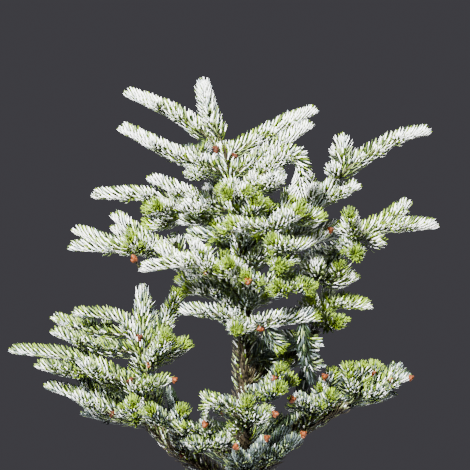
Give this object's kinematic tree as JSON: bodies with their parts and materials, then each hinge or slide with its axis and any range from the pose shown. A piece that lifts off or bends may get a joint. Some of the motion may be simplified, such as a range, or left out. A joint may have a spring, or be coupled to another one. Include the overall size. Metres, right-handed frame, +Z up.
{
  "type": "potted korean fir",
  "caption": "Young Korean fir with short silver-backed shoots on tiered boughs, growing in a filled round pot that stands on a flat base.",
  "frame": {"origin": "centre of the pot's flat underside, at the level it stands on", "axes": "+Z up along the pot and the trunk; +X to the right and +Y away from the viewer as seen from the front"},
  "size_m": [0.4264, 0.2512, 0.6102],
  "materials": {
    "pot": "matt dark grey moulded plastic",
    "compost": "loose bark compost",
    "bark": "rough grey-brown bark",
    "foliage": "curled needles, green inside and chalk white outside"
  },
  "bodies": {
    "root": {"bough_east": "bark", "bough_front_high": "bark", "bough_front_left": "bark", "bough_front_low": "bark", "bough_front_mid": "bark", "bough_inner_right": "bark", "bough_left_high": "bark", "bough_left_mid": "bark", "bough_right_high": "bark", "bough_right_low": "bark", "bough_right_mid": "bark", "bough_west": "bark", "compost": "compost", "mass_arch": "foliage", "mass_back_east": "foliage", "mass_back_low": "foliage", "mass_back_low_left": "foliage", "mass_back_low_right": "foliage", "mass_back_mid": "foliage", "mass_back_mid_left": "foliage", "mass_back_mid_right": "foliage", "mass_back_shoulder": "foliage", "mass_back_top_left": "foliage", "mass_back_top_right": "foliage", "mass_belt_left": "foliage", "mass_belt_right": "foliage", "mass_centre_right": "foliage", "mass_east": "foliage", "mass_east_front": "foliage", "mass_east_inner": "foliage", "mass_front_base": "foliage", "mass_front_high": "foliage", "mass_front_left": "foliage", "mass_front_low": "foliage", "mass_front_mid": "foliage", "mass_front_mid_left": "foliage", "mass_front_mid_right": "foliage", "mass_inner_right": "foliage", "mass_leader": "foliage", "mass_left_high": "foliage", "mass_left_mid": "foliage", "mass_left_mid_front": "foliage", "mass_right_high": "foliage", "mass_right_low": "foliage", "mass_right_mid": "foliage", "mass_right_under": "foliage", "mass_shade_right": "foliage", "mass_shoulder_left": "foliage", "mass_top_front": "foliage", "mass_top_left": "foliage", "mass_top_left_low": "foliage", "mass_top_right": "foliage", "mass_top_right_low": "foliage", "mass_under_left": "foliage", "mass_west_high": "foliage", "mass_west_inner": "foliage", "mass_west_low": "foliage", "mass_west_mid": "foliage", "pot": "pot", "trunk": "bark"}
  },
  "joints": []
}
